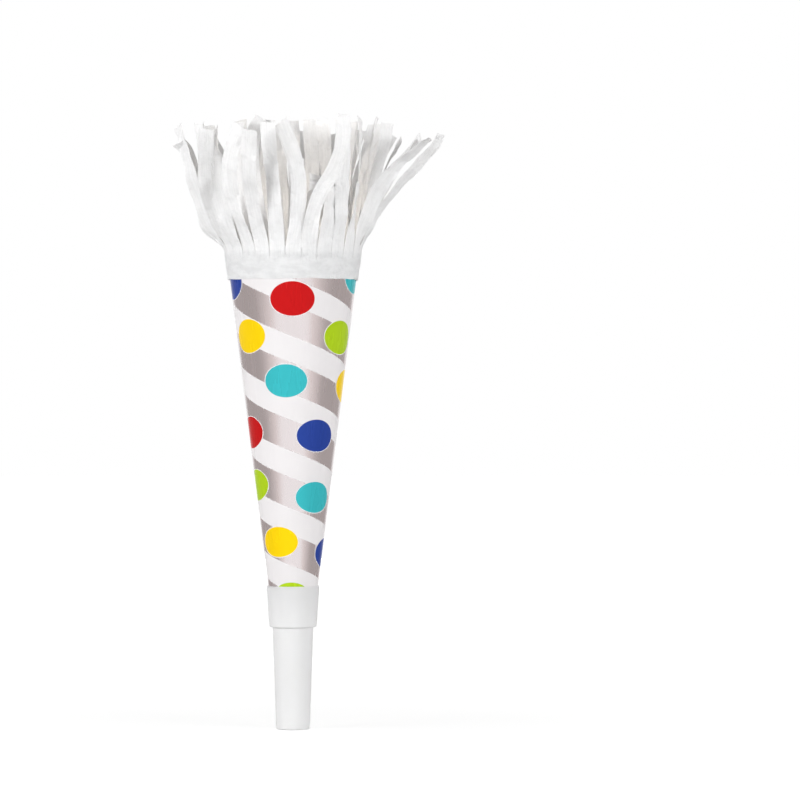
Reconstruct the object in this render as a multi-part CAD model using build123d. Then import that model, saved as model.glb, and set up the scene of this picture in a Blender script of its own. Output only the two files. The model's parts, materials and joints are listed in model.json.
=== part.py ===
"""Party horn blower: a printed card cone with a tissue fringe, pushed into a moulded reed mouthpiece.

The horn stands on its axis. Z runs from the lips to the fringe, and the origin is the centre of the
mouthpiece's tip. Azimuths are in degrees from -Y, the side that is seen first, towards +X.
"""

from build123d import *
import os
from collections import namedtuple
from math import cos, radians, sin

# Reed: a hollow trough with a flat table, a film tongue over its slot, and a ring that clamps the tongue
TROUGH_RADIUS = 3.3
TROUGH_LENGTH = 16.5
TROUGH_END_WALL = 1.4
TABLE_OFFSET = 1.0
SLOT_WIDTH = 3.4
SLOT_BACK_WALL = 1.6
OUTLET_RADIUS = 2.4
HUB_LENGTH = 5.0
FLANGE_THICKNESS = 1.0
TONGUE_THICKNESS = 0.2
TONGUE_SIDE_LAP = 0.7
TONGUE_TIP_LAP = 0.8
TONGUE_TIP_ROUND = 1.4
TONGUE_OPEN_ANGLE = 4.5
TONGUE_ROOT_LIP = 0.3
TONGUE_BEND_GAP = 0.1
RING_WALL = 0.9
RING_LENGTH = 4.6

# Mouthpiece: a tapered tube for the lips, a shoulder, and a collar that holds the cone
MOUTHPIECE_LENGTH = 43.0
COLLAR_LENGTH = 12.4
BORE_RADIUS = 3.9
BORE_LENGTH = 8.0
BORE_STEP = 0.4
BORE_STEP_LENGTH = 0.8
TIP_WALL = 1.2
TUBE_WALL = 1.25
SHOULDER_WALL = 1.3
COLLAR_FOOT_WALL = 0.9
COLLAR_LIP_WALL = 0.3
LIP_BEVEL = 0.1
LIP_BEVEL_LENGTH = 1.0
TIP_ROUND = 0.5
BORE_ROUND = 0.3
SHOULDER_ROUND = 0.8
SHOULDER_FILLET = 0.4

# Cone: one card sector rolled a full turn and lapped at the back
CARD_THICKNESS = 0.25
CONE_LENGTH = 110.2
CONE_TAPER = 0.125
LEDGE_WIDTH = 1.16
LAP_ANGLE = 24.0
SEAM_AZIMUTH = 180.0
ROLL_ARCS = 6

# Fringe: two plies of tissue wound round the cone's mouth, cut into strips above an uncut band
TISSUE_THICKNESS = 0.2
BAND_HEIGHT = 8.0
STRIP_LENGTH = 41.0
STRIP_SECTIONS = 6
TUFT_COUNT = 9
TUFT_STRIPS = 3
FIRST_TUFT_AZIMUTH = -11.7
INNER_CUT_SHIFT = 1.5
INNER_CUT_GAP = 1.0
OUTER_CUT_GAP = 0.3

# Clearances
RING_AIR = 0.7
RING_FIT = 0.02
SEAT_FIT = 0.02
FLANGE_FIT = 0.2
TONGUE_FIT = 0.02
SOCKET_FIT = 0.04
BAND_FIT = 0.04
PLY_GAP = 0.25
ROOT_GAP = 0.4

# Radii and heights that follow from the values above
RING_RADIUS = TROUGH_RADIUS + RING_WALL
SEAT_RADIUS = RING_RADIUS + RING_AIR
TIP_RADIUS = BORE_RADIUS + TIP_WALL
TUBE_TOP_RADIUS = SEAT_RADIUS + TUBE_WALL
CONE_FOOT_RADIUS = SEAT_RADIUS + LEDGE_WIDTH
SHOULDER_Z = MOUTHPIECE_LENGTH - COLLAR_LENGTH
LEDGE_Z = SHOULDER_Z + SHOULDER_WALL
CONE_FOOT_Z = LEDGE_Z + FLANGE_THICKNESS
RIM_Z = CONE_FOOT_Z + CONE_LENGTH
ROOT_Z = RIM_Z + ROOT_GAP
BAND_FOOT_Z = RIM_Z - BAND_HEIGHT
HUB_FOOT_Z = LEDGE_Z - HUB_LENGTH
RING_FOOT_Z = HUB_FOOT_Z - RING_LENGTH
TROUGH_FOOT_Z = HUB_FOOT_Z - TROUGH_LENGTH
SLOT_FOOT_Z = TROUGH_FOOT_Z + TROUGH_END_WALL
BEND_Z = RING_FOOT_Z - TONGUE_ROOT_LIP - TONGUE_BEND_GAP
TONGUE_WIDTH = SLOT_WIDTH + 2 * TONGUE_SIDE_LAP
BLADE_Y = -TABLE_OFFSET - TONGUE_FIT - TONGUE_THICKNESS / 2
TUFT_ANGLE = 360.0 / TUFT_COUNT
STRIP_ANGLE = TUFT_ANGLE / TUFT_STRIPS
CUT_GAPS = (INNER_CUT_GAP, OUTER_CUT_GAP)
CUT_SHIFTS = (INNER_CUT_SHIFT, 0)

# A strip's lean out from the axis at root, middle and tip in degrees, how far its tip drifts round the
# horn, and how far its tip twists in degrees
Strip = namedtuple("Strip", "root mid tip drift twist")

# The tufts go round from the front, first towards +X. Each row is one tuft, its strips in the same order
OUTER_PLY = [
    [Strip(24, 31, 28, -2, 10), Strip(20, 28, 27, -3, -10), Strip(14, 25, 18, -4, 25)],
    [Strip(19, 17, 12, 9, 14), Strip(11, 7, -8, 0, 0), Strip(13, 10, -4, -1.5, -20)],
    [Strip(10, 7, 6, 1.5, 50), Strip(15, 32, 42, -1, -70), Strip(18, 35, 52, 0, -90)],
    [Strip(16, 31, 46, -1, -25), Strip(18, 30, 42, 1.5, 60), Strip(16, 26, 36, -1.5, -40)],
    [Strip(14, 26, 32, 0.5, 30), Strip(12, 23, 32, 1, -15), Strip(14, 22, 24, -0.5, 12)],
    [Strip(13, 21, 22, 0.5, -12), Strip(12, 19, 24, 0.5, 15), Strip(14, 22, 26, -0.5, -15)],
    [Strip(16, 24, 24, 4, 30), Strip(18, 22, 28, 2, 40), Strip(24, 20, 30, -0.5, 50)],
    [Strip(44, 9, 20, 1.5, 80), Strip(62, 8, 40, 2, 120), Strip(40, 14, 26, -0.5, 90)],
    [Strip(37, 12, 8, 1, 70), Strip(30, 14, 8, -2, 50), Strip(31, 20, -8, 3, 20)],
]
INNER_PLY = [
    [Strip(8, 11, 14, 0.5, 15), Strip(10, 12, 12, 0, -15), Strip(6, 8, 8, -1, -12)],
    [Strip(5, 2, 0, 1, -15), Strip(6, 3, 1, 0.5, 15), Strip(6, 5, 3, -2, 12)],
    [Strip(3, 2, 3, 2, 15), Strip(6, 8, 14, 0, 20), Strip(8, 12, 16, -1, -30)],
    [Strip(7, 13, 17, 1, 30), Strip(8, 14, 20, 0, -20), Strip(8, 12, 16, -1.5, -30)],
    [Strip(6, 9, 12, 1.5, -10), Strip(6, 10, 10, 0, 15), Strip(5, 8, 14, -1.5, 12)],
    [Strip(6, 8, 8, 1.5, 15), Strip(6, 7, 9, 0, -15), Strip(6, 9, 12, -1.5, -12)],
    [Strip(7, 9, 10, 1, 10), Strip(7, 8, 10, 3, 20), Strip(9, 12, 16, -0.5, -15)],
    [Strip(12, 6, 8, 1.5, 30), Strip(14, 8, 10, 0, 40), Strip(14, 7, 10, -1.5, 40)],
    [Strip(18, 12, 12, 0.5, 40), Strip(10, 5, 2, 3, 30), Strip(9, 8, 4, -0.5, -10)],
]


def cone_radius(height):
    """Outer radius of the card where its wound turn starts."""
    return CONE_FOOT_RADIUS + CONE_TAPER * (height - CONE_FOOT_Z)


def widest_radius(height):
    """Outer radius of the card over the lap, where it is two cards thick."""
    return cone_radius(height) + CARD_THICKNESS * (1 + LAP_ANGLE / 360)


def socket_radius(height):
    """Inner radius of the collar that the cone is pushed into."""
    return widest_radius(height) + SOCKET_FIT


def ply_radius(ply, height):
    """Middle radius of a ply of tissue: ply 0 lies on the card, ply 1 on ply 0."""
    return widest_radius(height) + BAND_FIT + TISSUE_THICKNESS / 2 + ply * (TISSUE_THICKNESS + PLY_GAP)


def around(azimuth, radius, height):
    """A point at an azimuth, a radius and a height."""
    return Vector(radius * sin(radians(azimuth)), -radius * cos(radians(azimuth)), height)


def turned(outline):
    """A solid of revolution from an outline of radius and height."""
    return revolve(Plane.XZ * outline, Axis.Z)


def disc(radius, foot, head):
    """A cylinder on the axis between two heights."""
    return Pos(0, 0, foot) * Cylinder(radius, head - foot, align=(Align.CENTER, Align.CENTER, Align.MIN))


def in_front_of(offset, foot, head):
    """Everything near the axis that lies further towards -Y than an offset."""
    reach = 4 * TROUGH_RADIUS
    block = Box(reach, reach, head - foot, align=(Align.CENTER, Align.MAX, Align.MIN))
    return Pos(0, -offset, foot) * block


def rounded(outline, corner, radius):
    """The outline with its corner nearest to a point rounded off."""
    return fillet(outline.vertices().sort_by_distance((*corner, 0))[0], radius)


def mouthpiece():
    """Tube, shoulder and collar in one moulding, open from the blow bore to the cone's socket."""
    bore_edge = (BORE_RADIUS, 0)
    tip_edge = (TIP_RADIUS, 0)
    tube_top = (TUBE_TOP_RADIUS, SHOULDER_Z)
    collar_foot = (socket_radius(LEDGE_Z) + COLLAR_FOOT_WALL, SHOULDER_Z)
    lip_radius = socket_radius(MOUTHPIECE_LENGTH) + COLLAR_LIP_WALL
    outline = make_face(
        Polyline(
            bore_edge,
            tip_edge,
            tube_top,
            collar_foot,
            (lip_radius, MOUTHPIECE_LENGTH - LIP_BEVEL_LENGTH),
            (lip_radius - LIP_BEVEL, MOUTHPIECE_LENGTH),
            (socket_radius(MOUTHPIECE_LENGTH), MOUTHPIECE_LENGTH),
            (socket_radius(LEDGE_Z), LEDGE_Z),
            (SEAT_RADIUS, LEDGE_Z),
            (SEAT_RADIUS, HUB_FOOT_Z),
            (BORE_RADIUS + BORE_STEP, BORE_LENGTH + BORE_STEP_LENGTH),
            (BORE_RADIUS, BORE_LENGTH),
            close=True,
        )
    )
    shoulder_width = collar_foot[0] - TUBE_TOP_RADIUS
    outline = rounded(outline, bore_edge, min(BORE_ROUND, TIP_WALL / 4))
    outline = rounded(outline, tip_edge, min(TIP_ROUND, TIP_WALL / 2))
    outline = rounded(outline, tube_top, min(SHOULDER_FILLET, shoulder_width / 3))
    outline = rounded(outline, collar_foot, min(SHOULDER_ROUND, shoulder_width / 2, SHOULDER_WALL / 2))
    return turned(outline)


def reed_holder():
    """Plug with a flange on the mouthpiece's ledge, and a slotted trough that points at the player."""
    trough = disc(TROUGH_RADIUS, TROUGH_FOOT_Z, HUB_FOOT_Z)
    trough -= in_front_of(TABLE_OFFSET, TROUGH_FOOT_Z, HUB_FOOT_Z)
    hub = disc(SEAT_RADIUS - SEAT_FIT, HUB_FOOT_Z, LEDGE_Z)
    flange = disc(socket_radius(LEDGE_Z) - FLANGE_FIT, LEDGE_Z, CONE_FOOT_Z)
    slot_back = TROUGH_RADIUS - SLOT_BACK_WALL
    slot_block = Box(
        SLOT_WIDTH,
        slot_back + TROUGH_RADIUS,
        HUB_FOOT_Z - SLOT_FOOT_Z,
        align=(Align.CENTER, Align.MAX, Align.MIN),
    )
    slot = Pos(0, slot_back, SLOT_FOOT_Z) * slot_block
    outlet = disc(OUTLET_RADIUS, HUB_FOOT_Z, CONE_FOOT_Z)
    return trough + hub + flange - slot - outlet


def reed_ring():
    """Clamp ring whose hole is flat where it presses the tongue's root on the table."""
    hole = disc(TROUGH_RADIUS + RING_FIT, RING_FOOT_Z, HUB_FOOT_Z)
    hole -= in_front_of(TABLE_OFFSET + TONGUE_THICKNESS + RING_FIT, RING_FOOT_Z, HUB_FOOT_Z)
    return disc(RING_RADIUS, RING_FOOT_Z, HUB_FOOT_Z) - hole


def reed_root():
    """The clamped end of the tongue, flat on the table from the hub to just below the ring."""
    length = HUB_FOOT_Z - RING_FOOT_Z + TONGUE_ROOT_LIP
    film = Box(TONGUE_WIDTH, TONGUE_THICKNESS, length, align=(Align.CENTER, Align.MAX, Align.MAX))
    return Pos(0, -TABLE_OFFSET, HUB_FOOT_Z) * film


def reed_blade():
    """The beating end of the tongue, sprung open from the table, with a rounded tip."""
    length = BEND_Z - SLOT_FOOT_Z + TONGUE_TIP_LAP
    outline = Rectangle(TONGUE_WIDTH, length, align=(Align.CENTER, Align.MAX))
    tip_corners = outline.vertices().group_by(Axis.Y)[0]
    outline = fillet(tip_corners, min(TONGUE_TIP_ROUND, TONGUE_WIDTH / 3))
    film = extrude(Plane.XZ * outline, TONGUE_THICKNESS / 2, both=True)
    return Pos(0, BLADE_Y, BEND_Z) * Rot(-TONGUE_OPEN_ANGLE, 0, 0) * film


def wound_face(radius, height, start_azimuth):
    """A face whose edge winds one full turn, grows by one card on the way and then steps back."""
    points = []
    for half_arc in range(2 * ROLL_ARCS + 1):
        turn = half_arc / (2 * ROLL_ARCS)
        points.append(around(start_azimuth + 360 * turn, radius + CARD_THICKNESS * turn, height))
    arcs = [ThreePointArc(*points[k : k + 3]) for k in range(0, 2 * ROLL_ARCS, 2)]
    return make_face([*arcs, Line(points[-1], points[0])])


def cone():
    """Rolled card: its outer edge steps down at the seam, its inner edge one lap before."""
    lap_growth = CARD_THICKNESS * LAP_ANGLE / 360
    outer_ends = (CONE_FOOT_Z, RIM_Z)
    inner_ends = (CONE_FOOT_Z - CARD_THICKNESS, RIM_Z + CARD_THICKNESS)
    outside = [wound_face(cone_radius(z) + lap_growth, z, SEAM_AZIMUTH) for z in outer_ends]
    inside = [
        wound_face(cone_radius(z) - CARD_THICKNESS, z, SEAM_AZIMUTH - LAP_ANGLE) for z in inner_ends
    ]
    return loft(outside, ruled=True) - loft(inside, ruled=True)


def fringe_band(ply):
    """The uncut hem of one ply, a thin ring that follows the cone's taper up to the rim."""
    half = TISSUE_THICKNESS / 2
    foot = ply_radius(ply, BAND_FOOT_Z)
    head = ply_radius(ply, RIM_Z)
    inside = [(head - half, RIM_Z), (foot - half, BAND_FOOT_Z)]
    outside = [(foot + half, BAND_FOOT_Z), (head + half, RIM_Z)]
    return turned(make_face(Polyline(*inside, *outside, close=True)))


def lean_at(strip, share):
    """A strip's lean in degrees at a share of its length, on a parabola through root, middle and tip."""
    at_root = strip.root * (1 - share) * (1 - 2 * share)
    at_mid = strip.mid * 4 * share * (1 - share)
    at_tip = strip.tip * share * (2 * share - 1)
    return at_root + at_mid + at_tip


def strip_direction(strip, azimuth, share):
    """Which way a strip runs at a share of its length."""
    lean = radians(lean_at(strip, share))
    drift = 2 * share * strip.drift / STRIP_LENGTH
    rise = Vector(0, 0, cos(lean)) + around(azimuth, sin(lean), 0)
    return (rise + around(azimuth + 90, drift, 0)).normalized()


def tissue_strip(strip, ply, azimuth):
    """One strip of tissue: a ruled loft through flat sections from its cut to its tip."""
    root_radius = ply_radius(ply, ROOT_Z)
    width = root_radius * radians(STRIP_ANGLE) - CUT_GAPS[ply]
    step = STRIP_LENGTH / STRIP_SECTIONS
    centre = around(azimuth, root_radius, ROOT_Z)
    sections = []
    for k in range(STRIP_SECTIONS + 1):
        share = k / STRIP_SECTIONS
        along = strip_direction(strip, azimuth, share)
        across = along.cross(around(azimuth, -1, 0)).normalized()
        across = across.rotate(Axis((0, 0, 0), along), strip.twist * share)
        sections.append(Plane(centre, x_dir=across, z_dir=along) * Rectangle(width, TISSUE_THICKNESS))
        centre += strip_direction(strip, azimuth, share + 0.5 / STRIP_SECTIONS) * step
    return loft(sections, ruled=True)


def tuft_strips(strips, ply, tuft):
    """The strips of one ply in one tuft, side by side about the tuft's middle."""
    middle = FIRST_TUFT_AZIMUTH + tuft * TUFT_ANGLE + CUT_SHIFTS[ply]
    offsets = [(k - (TUFT_STRIPS - 1) / 2) * STRIP_ANGLE for k in range(TUFT_STRIPS)]
    return Compound([tissue_strip(s, ply, middle + o).solid() for s, o in zip(strips, offsets)])


def all_pieces():
    """Every piece by its name."""
    pieces = {
        "mouthpiece": mouthpiece(),
        "reed_holder": reed_holder(),
        "reed_ring": reed_ring(),
        "reed_root": reed_root(),
        "reed_blade": reed_blade(),
        "cone": cone(),
        "fringe_band_inner": fringe_band(0),
        "fringe_band_outer": fringe_band(1),
    }
    for tuft in range(TUFT_COUNT):
        pieces[f"fringe_inner_{tuft + 1}"] = tuft_strips(INNER_PLY[tuft], 0, tuft)
        pieces[f"fringe_outer_{tuft + 1}"] = tuft_strips(OUTER_PLY[tuft], 1, tuft)
    return pieces


os.makedirs("parts", exist_ok=True)
for name, piece in all_pieces().items():
    export_step(piece, f"parts/{name}.step")
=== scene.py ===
"""Party horn blower: prints the card cone, finishes the plastics and hangs the tissue fringe.

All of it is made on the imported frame. Lengths are in metres in the frame's own axes: Z runs from the lips to
the fringe and -Y faces the camera. Azimuths are in degrees from -Y towards +X.
"""

import json
import math
import random
from collections import namedtuple

import bmesh
import bpy
from bpy.props import FloatProperty, FloatVectorProperty, IntProperty, PointerProperty
from bpy.types import Operator, Panel, PropertyGroup
from mathutils import Matrix, Vector, noise


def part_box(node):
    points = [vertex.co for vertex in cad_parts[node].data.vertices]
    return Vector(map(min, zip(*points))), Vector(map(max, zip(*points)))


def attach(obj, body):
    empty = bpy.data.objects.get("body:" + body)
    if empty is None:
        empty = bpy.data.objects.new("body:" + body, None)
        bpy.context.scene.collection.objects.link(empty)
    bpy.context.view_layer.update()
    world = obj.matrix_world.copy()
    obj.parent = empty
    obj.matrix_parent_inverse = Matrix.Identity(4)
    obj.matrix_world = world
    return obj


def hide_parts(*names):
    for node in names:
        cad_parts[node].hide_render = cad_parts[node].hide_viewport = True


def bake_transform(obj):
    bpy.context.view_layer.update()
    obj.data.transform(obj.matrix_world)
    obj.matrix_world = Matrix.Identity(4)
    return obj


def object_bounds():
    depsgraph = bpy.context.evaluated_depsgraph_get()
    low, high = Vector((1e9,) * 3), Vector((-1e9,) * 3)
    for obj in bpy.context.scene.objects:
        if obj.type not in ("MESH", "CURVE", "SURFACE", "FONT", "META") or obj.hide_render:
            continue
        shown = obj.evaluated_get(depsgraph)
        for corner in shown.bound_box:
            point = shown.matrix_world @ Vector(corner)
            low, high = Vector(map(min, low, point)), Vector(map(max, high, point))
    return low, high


bl_info = {
    "name": "Party horn",
    "version": (1, 0, 0),
    "blender": (4, 5, 0),
    "location": "3D View > Sidebar > Party horn",
    "description": "Prints the cone, finishes the plastics and hangs the tissue fringe of a party horn",
    "category": "Object",
}

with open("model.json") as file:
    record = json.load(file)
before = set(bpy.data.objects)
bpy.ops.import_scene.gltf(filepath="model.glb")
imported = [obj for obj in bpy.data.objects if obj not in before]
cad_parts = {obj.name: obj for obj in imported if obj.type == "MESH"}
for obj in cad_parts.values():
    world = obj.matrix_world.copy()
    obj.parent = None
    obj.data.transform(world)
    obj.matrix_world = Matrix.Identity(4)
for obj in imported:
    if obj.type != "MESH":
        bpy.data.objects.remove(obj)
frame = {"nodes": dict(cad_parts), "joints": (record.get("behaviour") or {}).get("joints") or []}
CAD_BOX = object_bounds()
MM = 0.001

# Places that come from the frame
JOINTS = {joint["name"]: joint for joint in frame["joints"]}
TUFT_JOINTS = [joint for joint in frame["joints"] if joint["child"].startswith("tuft_")]
CONE_FOOT_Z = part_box("cone")[0].z
RIM_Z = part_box("cone")[1].z
ROOT_Z = TUFT_JOINTS[0]["pos_m"][2]
BAND_FOOT_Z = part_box("fringe_band_outer")[0].z
HORN_CENTRE = (CAD_BOX[0] + CAD_BOX[1]) / 2

# The cone's own sizes, which the print and the tissue both follow
CONE_FOOT_RADIUS = 6.06 * MM
CONE_TAPER = 0.125
LAPPED_CARD = 0.267 * MM
TAPER_LEAN = math.degrees(math.atan(CONE_TAPER))

# How many strips make a tuft, the part of a turn that a strip takes in degrees, and half of it in radians
TUFT_STRIPS = 3
STRIP_ANGLE = 360 / (TUFT_STRIPS * len(TUFT_JOINTS))
HALF_STRIP = math.radians(STRIP_ANGLE / 2)

# How finely a strip is divided: rows on the hem, rows above it, and where its columns lie from edge to edge
HEM_STEPS = 12
STRIP_STEPS = 60
STRIP_COLUMNS = 8
REACHES = [2 * c / STRIP_COLUMNS - 1 for c in range(STRIP_COLUMNS + 1)]

# A strip that lies near its solid: its lean out from the axis at root, middle and tip in degrees, how many
# millimetres its tip drifts round the horn, and how far its tip twists in degrees
Strip = namedtuple("Strip", "root mid tip drift twist")

# A strip that lies in a way of its own: its lean out from the axis, its lean round the horn and its twist,
# all in degrees at the root, the quarters and the tip, how many millimetres its tip is cut short, and the
# slant of that cut
Way = namedtuple("Way", "leans sides twists shorter slant")

# The strips of each ply of tissue, three to a tuft. They go round from the front, first towards +X
INNER_PLY = [
    Way((8, 11, 14, 14, 16), (-1, -6, -6, 10, 48), (0, 5, 10, 20, 50), 0.8, 0.0),
    Way((9, 12, 12, 10, 8), (-2, -4, -4, -2, -2), (0, -5, -10, -12, -6), 3, 0.1),
    Way((8, 11, 11, 11, 11), (0, 1, 1, 1, 1), (0, -4, -8, -10, -6), 14, 0.0),
    Way((9, 10, 10, 10, 10), (1, 1, 1, 1, 1), (0, 2, 4, 4, 4), 19, 0.2),
    Way((5, 3, 0, -4, -6), (5, 8, 10, 10, 2), (0, 4, 6, 8, 6), 3.5, 0.1),
    Way((4, 2, 0, -2, -4), (0, -1, -1, -1, -1), (0, 5, 8, 8, 8), 1, 0.1),
    Way((4, 4, 5, 4, 2), (0, 2, 4, 5, 5), (0, 20, 30, 26, 34), 3, 0.4),
    Strip(6, 8, 14, 0, 20),
    Way((8, 12, 15, 15, 12), (0, -2, -4, -2, 0), (0, -20, -40, -50, -55), 2, 0.0),
    Way((7, 11, 13, 15, 17), (1, 1, 2, 3, 3), (0, 8, 15, 22, 30), 4, 0.2),
    Way((8, 15, 19, 23, 28), (0, 2, 4, 4, 2), (0, 20, 45, 60, 60), 3, -0.1),
    Way((8, 13, 16, 18, 20), (-3, -6, -9, -10, -8), (0, 12, 25, 30, 30), 1, 0.05),
    Way((6, 8, 9, 9, 9), (0, -1, -2, -2, -2), (0, 0, 5, 5, 5), 1, 0.05),
    Way((6, 7, 6, 4, 2), (0, 5, 10, 10, 8), (0, 4, 8, 12, 15), -0.6, 0.05),
    Way((5, 7, 7, 6, 5), (0, 3, 6, 6, 4), (0, 3, 6, 9, 12), -0.8, 0.0),
    Way((6, 8, 8, 7, 6), (0, 3, 5, 5, 4), (0, 4, 8, 12, 15), -0.9, 0.0),
    Strip(6, 7, 9, 0, -15),
    Strip(6, 9, 12, -1.5, -12),
    Strip(7, 9, 10, 1, 10),
    Way((7, 8, 8, 10, 10), (2, 0, -3, -5, -4), (0, 5, 10, 15, 20), 4, 0.1),
    Strip(9, 12, 16, -0.5, -15),
    Strip(12, 6, 8, 1.5, 30),
    Way((14, 8, 6, 6, 6), (0, 0, 2, 2, 0), (0, 20, 40, 45, 40), 4.5, -0.2),
    Way((16, 10, 9, 9, 9), (0, 0, -2, -3, -3), (0, 30, 40, 40, 40), 4.5, 0.2),
    Way((20, 13, 11, 9, 8), (0, 2, 2, 0, 0), (0, 30, 40, 40, 40), 4.5, 0.2),
    Way((12, 8, 4, -4, -8), (0, 0, 4, 8, 8), (0, 15, 25, 30, 30), 4.5, 0.1),
    Way((9, 8, 6, 0, -4), (-5, -7, -5, 2, 4), (0, -5, -8, 0, 5), 3.5, -0.1),
]
OUTER_PLY = [
    Way((24, 33, 34, 28, 26), (-4, 6, 12, 15, 16), (0, -5, 5, 12, 8), 0.2, 0.0),
    Way((20, 27, 28, 25, 20), (1, 2, 1, -1, 2), (0, -8, -12, -4, 8), 2, 0.05),
    Way((16, 24, 24, 16, 10), (10, 5, -2, -20, -26), (0, 10, 15, -10, 20), 1.5, -0.2),
    Way((19, 20, 18, 12, 4), (-5, 9, 26, 16, -10), (0, 5, 15, 20, -10), -0.2, 0.05),
    Way((12, 11, 9, 5, 3), (4, 6, 9, 10, 0), (0, 0, 5, 5, 0), 5, 0.1),
    Way((15, 14, 12, 8, 4), (-2, -6, -6, 0, 6), (0, -5, -10, -10, -5), 5, -0.1),
    Way((9, 8, 8, 4, 2), (2, 2, 2, 0, 0), (0, 22, 34, 26, 12), 2, 0.3),
    Way((16, 19, 32, 53, 46), (-2, -2, 0, 4, 0), (0, -35, -55, -12, 0), -0.5, 0.2),
    Way((26, 34, 38, 37, 34), (0, -2, -4, -2, 4), (0, -12, -22, -25, -20), -1.6, -0.2),
    Way((16, 24, 31, 38, 46), (0, -1, -2, -3, -3), (0, -6, -12, -18, -25), 4, 0.2),
    Way((18, 27, 36, 43, 47), (0, 1, 2, 4, 4), (0, -20, -35, -40, -45), 0.5, 0.3),
    Way((16, 25, 30, 35, 40), (0, -2, -4, -4, -4), (0, -10, -20, -30, -40), 3, 0.1),
    Way((14, 20, 22, 22, 22), (0, 0, 1, 1, 1), (0, 8, 15, 22, 30), -1.2, 0.2),
    Way((12, 18, 24, 28, 32), (0, 1, 2, 2, 2), (0, 10, 20, 30, 30), -1.5, 0.1),
    Strip(14, 22, 24, -0.5, 12),
    Strip(13, 21, 22, 0.5, -12),
    Strip(12, 19, 24, 0.5, 15),
    Strip(14, 22, 26, -0.5, -15),
    Way((16, 22, 24, 24, 24), (2, 6, 9, 12, 12), (0, 8, 15, 25, 30), 1.5, 0.1),
    Strip(18, 22, 28, 2, 40),
    Way((24, 20, 18, 16, 16), (0, -2, -2, -1, 0), (0, 15, 30, 40, 45), 1, 0.3),
    Way((44, 16, 4, 4, 6), (0, 2, 2, 2, 2), (0, 40, 55, 50, 45), 1, 0.3),
    Way((76, 12, 7, 22, 68), (0, 10, 18, 18, 8), (0, 40, 50, 55, 60), 5, 0.6),
    Way((46, 28, 20, 19, 18), (0, 2, 2, 0, 0), (0, 30, 45, 25, 15), 1, -0.2),
    Way((40, 22, 18, 8, 4), (0, 8, 20, 28, 26), (0, 40, 70, 75, 70), 1.7, 0.1),
    Way((42, 22, 8, 0, -8), (0, 2, 0, 0, 4), (0, 30, 60, 90, 130), 5.2, 0.9),
    Way((28, 33, 22, -2, -12), (0, 0, 6, 18, 38), (0, 5, 25, 30, 20), 2, 0.05),
]
PLIES = {"inner": INNER_PLY, "outer": OUTER_PLY}

# The printed dots: ink, azimuth in degrees and height in millimetres
DOTS = [
    ("red", 1, 128.7),
    ("yellow", -50.5, 117.7),
    ("green", 58, 117.3),
    ("teal", -6.8, 104.4),
    ("yellow", 85.5, 102.8),
    ("red", -69, 89.0),
    ("blue", 34, 88.1),
    ("green", -71, 73.3),
    ("teal", 38.5, 69.7),
    ("yellow", -26.8, 56.4),
    ("blue", 90.5, 52.8),
    ("green", -2.5, 39.9),
    ("blue", -73.5, 133.8),
    ("teal", 76.3, 135.6),
    ("yellow", 128, 128.7),
    ("blue", 176, 132.5),
    ("green", -130, 127.2),
    ("red", 115, 119.7),
    ("teal", 171, 115.2),
    ("blue", -116, 112.0),
    ("blue", 140, 101.7),
    ("red", -156, 99.5),
    ("green", 122, 86.0),
    ("yellow", -158, 84.5),
    ("red", 130, 69.0),
    ("blue", -150, 68.0),
    ("teal", -152, 52.5),
    ("yellow", 162, 54.0),
    ("red", 145, 40.0),
]


def length_setting(name, description, default):
    """A setting for a length."""
    return FloatProperty(name=name, description=description, default=default, unit="LENGTH")


def share_setting(name, description, default):
    """A setting for a share or a level."""
    return FloatProperty(name=name, description=description, default=default, subtype="FACTOR")


def power_setting(name, description, default):
    """A setting for a lamp's power."""
    return FloatProperty(name=name, description=description, default=default, unit="POWER")


def colour_setting(name, description, default):
    """A setting for a colour."""
    return FloatVectorProperty(name=name, description=description, default=default, subtype="COLOR")


class HornPrint(PropertyGroup):
    """The print on the card cone."""

    stripe_pitch: length_setting("Stripe pitch", "Height from one foil stripe to the next", 17.1 * MM)
    stripe_share: share_setting("Foil share", "Share of the pitch that is foil", 0.535)
    stripe_slope: share_setting("Stripe slope", "Fall of a stripe for each length round the cone", 0.398)
    stripe_start: length_setting("Stripe start", "Height of a stripe's lower edge at the front", 15.1 * MM)
    dot_half_width: length_setting("Dot half width", "Half of the widest dot, round the cone", 6.68 * MM)
    dot_half_height: length_setting("Dot half height", "Half of the widest dot, up the cone", 5.1 * MM)
    dot_halo: length_setting("Dot halo", "White line left round each dot", 0.2 * MM)
    card_white: colour_setting("Card white", "White of the stripes", (0.776, 0.753, 0.759))
    foil: colour_setting("Foil", "Silver of the stripes", (0.84, 0.775, 0.78))
    red: colour_setting("Red", "Red ink", (0.543, 0.00814, 0.00923))
    yellow: colour_setting("Yellow", "Yellow ink", (0.943, 0.641, 0.00293))
    green: colour_setting("Green", "Green ink", (0.419, 0.619, 0.0141))
    teal: colour_setting("Teal", "Teal ink", (0.0434, 0.467, 0.51))
    blue: colour_setting("Blue", "Blue ink", (0.0228, 0.0565, 0.31))


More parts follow.
